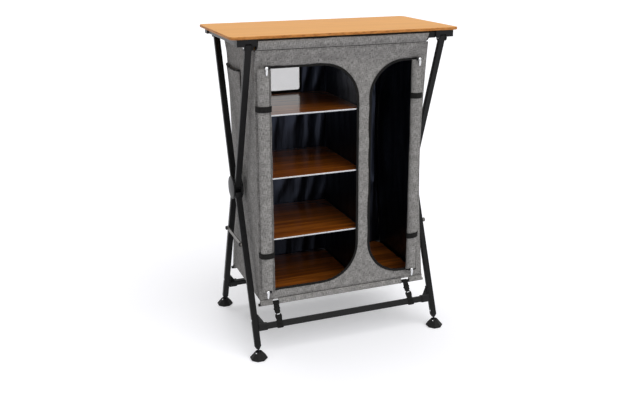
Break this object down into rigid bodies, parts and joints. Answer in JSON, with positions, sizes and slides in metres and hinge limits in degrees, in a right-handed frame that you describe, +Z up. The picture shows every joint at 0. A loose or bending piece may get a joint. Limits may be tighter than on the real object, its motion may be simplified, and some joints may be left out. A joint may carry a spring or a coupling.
{
  "type": "camping wardrobe",
  "caption": "Folding camping wardrobe: bamboo tabletop on an X-legged tube frame, with a two-bay fabric cabinet, walnut shelves, rolled-up doors and levelling feet.",
  "frame": {"origin": "centre of the footprint, on the floor", "axes": "+Z up, -Y towards someone facing the doors, +X to their right along the tabletop"},
  "size_m": [0.91, 0.5898, 1.25],
  "materials": {
    "bamboo": "satin lacquered bamboo",
    "tube": "dark anodised, fine ridges",
    "plastic": "black moulded plastic",
    "steel": "zinc-plated thread",
    "rubber": "matt rubber",
    "melange_fabric": "grey melange canvas",
    "lining_fabric": "coated navy-black lining",
    "walnut": "glossy walnut laminate",
    "webbing": "black webbing"
  },
  "bodies": {
    "frame": {"front_rail": "tube", "rear_rail": "tube", "left_rail": "tube", "right_rail": "tube", "front_left_corner_joint": "plastic", "front_right_corner_joint": "plastic", "rear_left_corner_joint": "plastic", "rear_right_corner_joint": "plastic", "front_left_upper_leg": "tube", "front_right_upper_leg": "tube", "rear_left_upper_leg": "tube", "rear_right_upper_leg": "tube", "left_hub": "plastic", "right_hub": "plastic", "front_panel": "melange_fabric", "rear_panel": "melange_fabric", "left_panel": "melange_fabric", "right_panel": "melange_fabric", "inner_liner": "lining_fabric", "floor_panel": "lining_fabric", "roof_panel": "lining_fabric", "front_hem_rod": "plastic", "rear_hem_rod": "plastic", "left_door_roll": "melange_fabric", "right_door_roll": "melange_fabric", "side_pocket": "melange_fabric", "left_upper_strap": "webbing", "right_upper_strap": "webbing"},
    "tabletop": {"tabletop": "bamboo"},
    "front_legs": {"front_left_lower_leg": "tube", "front_right_lower_leg": "tube", "front_left_leg_plug": "plastic", "front_right_leg_plug": "plastic", "front_bar": "tube", "front_left_bracket": "plastic", "front_right_bracket": "plastic", "left_lower_strap": "webbing", "right_lower_strap": "webbing"},
    "rear_legs": {"rear_left_lower_leg": "tube", "rear_right_lower_leg": "tube", "rear_left_leg_plug": "plastic", "rear_right_leg_plug": "plastic", "rear_bar": "tube", "rear_left_bracket": "plastic", "rear_right_bracket": "plastic"},
    "left_stay": {"left_stay": "tube"},
    "right_stay": {"right_stay": "tube"},
    "front_left_stud": {"front_left_foot_stud": "steel"},
    "front_right_stud": {"front_right_foot_stud": "steel"},
    "rear_left_stud": {"rear_left_foot_stud": "steel"},
    "rear_right_stud": {"rear_right_foot_stud": "steel"},
    "front_left_foot": {"front_left_foot": "rubber"},
    "front_right_foot": {"front_right_foot": "rubber"},
    "rear_left_foot": {"rear_left_foot": "rubber"},
    "rear_right_foot": {"rear_right_foot": "rubber"},
    "top_shelf": {"top_shelf": "walnut"},
    "middle_shelf": {"middle_shelf": "walnut"},
    "bottom_shelf": {"bottom_shelf": "walnut"},
    "left_floor_board": {"left_floor_board": "walnut"},
    "right_floor_board": {"right_floor_board": "walnut"}
  },
  "joints": [
    {"name": "tabletop_lift", "type": "slide", "parent": "frame", "child": "tabletop", "axis": [0, 0, 1], "range_m": [0, 0.1]},
    {"name": "front_legs_fold", "type": "hinge", "parent": "frame", "child": "front_legs", "pos_m": [0, -0.03, 0.606], "axis": [1, 0, 0], "range_deg": [-125, 0]},
    {"name": "rear_legs_fold", "type": "hinge", "parent": "frame", "child": "rear_legs", "pos_m": [0, 0.03, 0.606], "axis": [1, 0, 0], "range_deg": [0, 125]},
    {"name": "left_stay_swing", "type": "hinge", "parent": "rear_legs", "child": "left_stay", "pos_m": [-0.4018, 0.10343, 0.421], "axis": [1, 0, 0], "range_deg": [0, 111]},
    {"name": "right_stay_swing", "type": "hinge", "parent": "rear_legs", "child": "right_stay", "pos_m": [0.4018, 0.10343, 0.421], "axis": [1, 0, 0], "range_deg": [0, 111]},
    {"name": "front_left_stud_travel", "type": "slide", "parent": "front_legs", "child": "front_left_stud", "axis": [0, -0.3689, -0.9295], "range_m": [0, 0.015]},
    {"name": "front_right_stud_travel", "type": "slide", "parent": "front_legs", "child": "front_right_stud", "axis": [0, -0.3689, -0.9295], "range_m": [0, 0.015]},
    {"name": "rear_left_stud_travel", "type": "slide", "parent": "rear_legs", "child": "rear_left_stud", "axis": [0, 0.3689, -0.9295], "range_m": [0, 0.015]},
    {"name": "rear_right_stud_travel", "type": "slide", "parent": "rear_legs", "child": "rear_right_stud", "axis": [0, 0.3689, -0.9295], "range_m": [0, 0.015]},
    {"name": "front_left_foot_tilt", "type": "hinge", "parent": "front_left_stud", "child": "front_left_foot", "pos_m": [-0.3875, -0.2626, 0.02], "axis": [1, 0, 0], "range_deg": [-8, 8]},
    {"name": "front_right_foot_tilt", "type": "hinge", "parent": "front_right_stud", "child": "front_right_foot", "pos_m": [0.3875, -0.2626, 0.02], "axis": [1, 0, 0], "range_deg": [-8, 8]},
    {"name": "rear_left_foot_tilt", "type": "hinge", "parent": "rear_left_stud", "child": "rear_left_foot", "pos_m": [-0.3875, 0.2626, 0.02], "axis": [1, 0, 0], "range_deg": [-8, 8]},
    {"name": "rear_right_foot_tilt", "type": "hinge", "parent": "rear_right_stud", "child": "rear_right_foot", "pos_m": [0.3875, 0.2626, 0.02], "axis": [1, 0, 0], "range_deg": [-8, 8]},
    {"name": "top_shelf_lift", "type": "slide", "parent": "frame", "child": "top_shelf", "axis": [0, 0, 1], "range_m": [0, 0.15]},
    {"name": "middle_shelf_lift", "type": "slide", "parent": "frame", "child": "middle_shelf", "axis": [0, 0, 1], "range_m": [0, 0.15]},
    {"name": "bottom_shelf_lift", "type": "slide", "parent": "frame", "child": "bottom_shelf", "axis": [0, 0, 1], "range_m": [0, 0.15]},
    {"name": "left_floor_board_lift", "type": "slide", "parent": "frame", "child": "left_floor_board", "axis": [0, 0, 1], "range_m": [0, 0.04]},
    {"name": "right_floor_board_lift", "type": "slide", "parent": "frame", "child": "right_floor_board", "axis": [0, 0, 1], "range_m": [0, 0.04]}
  ]
}
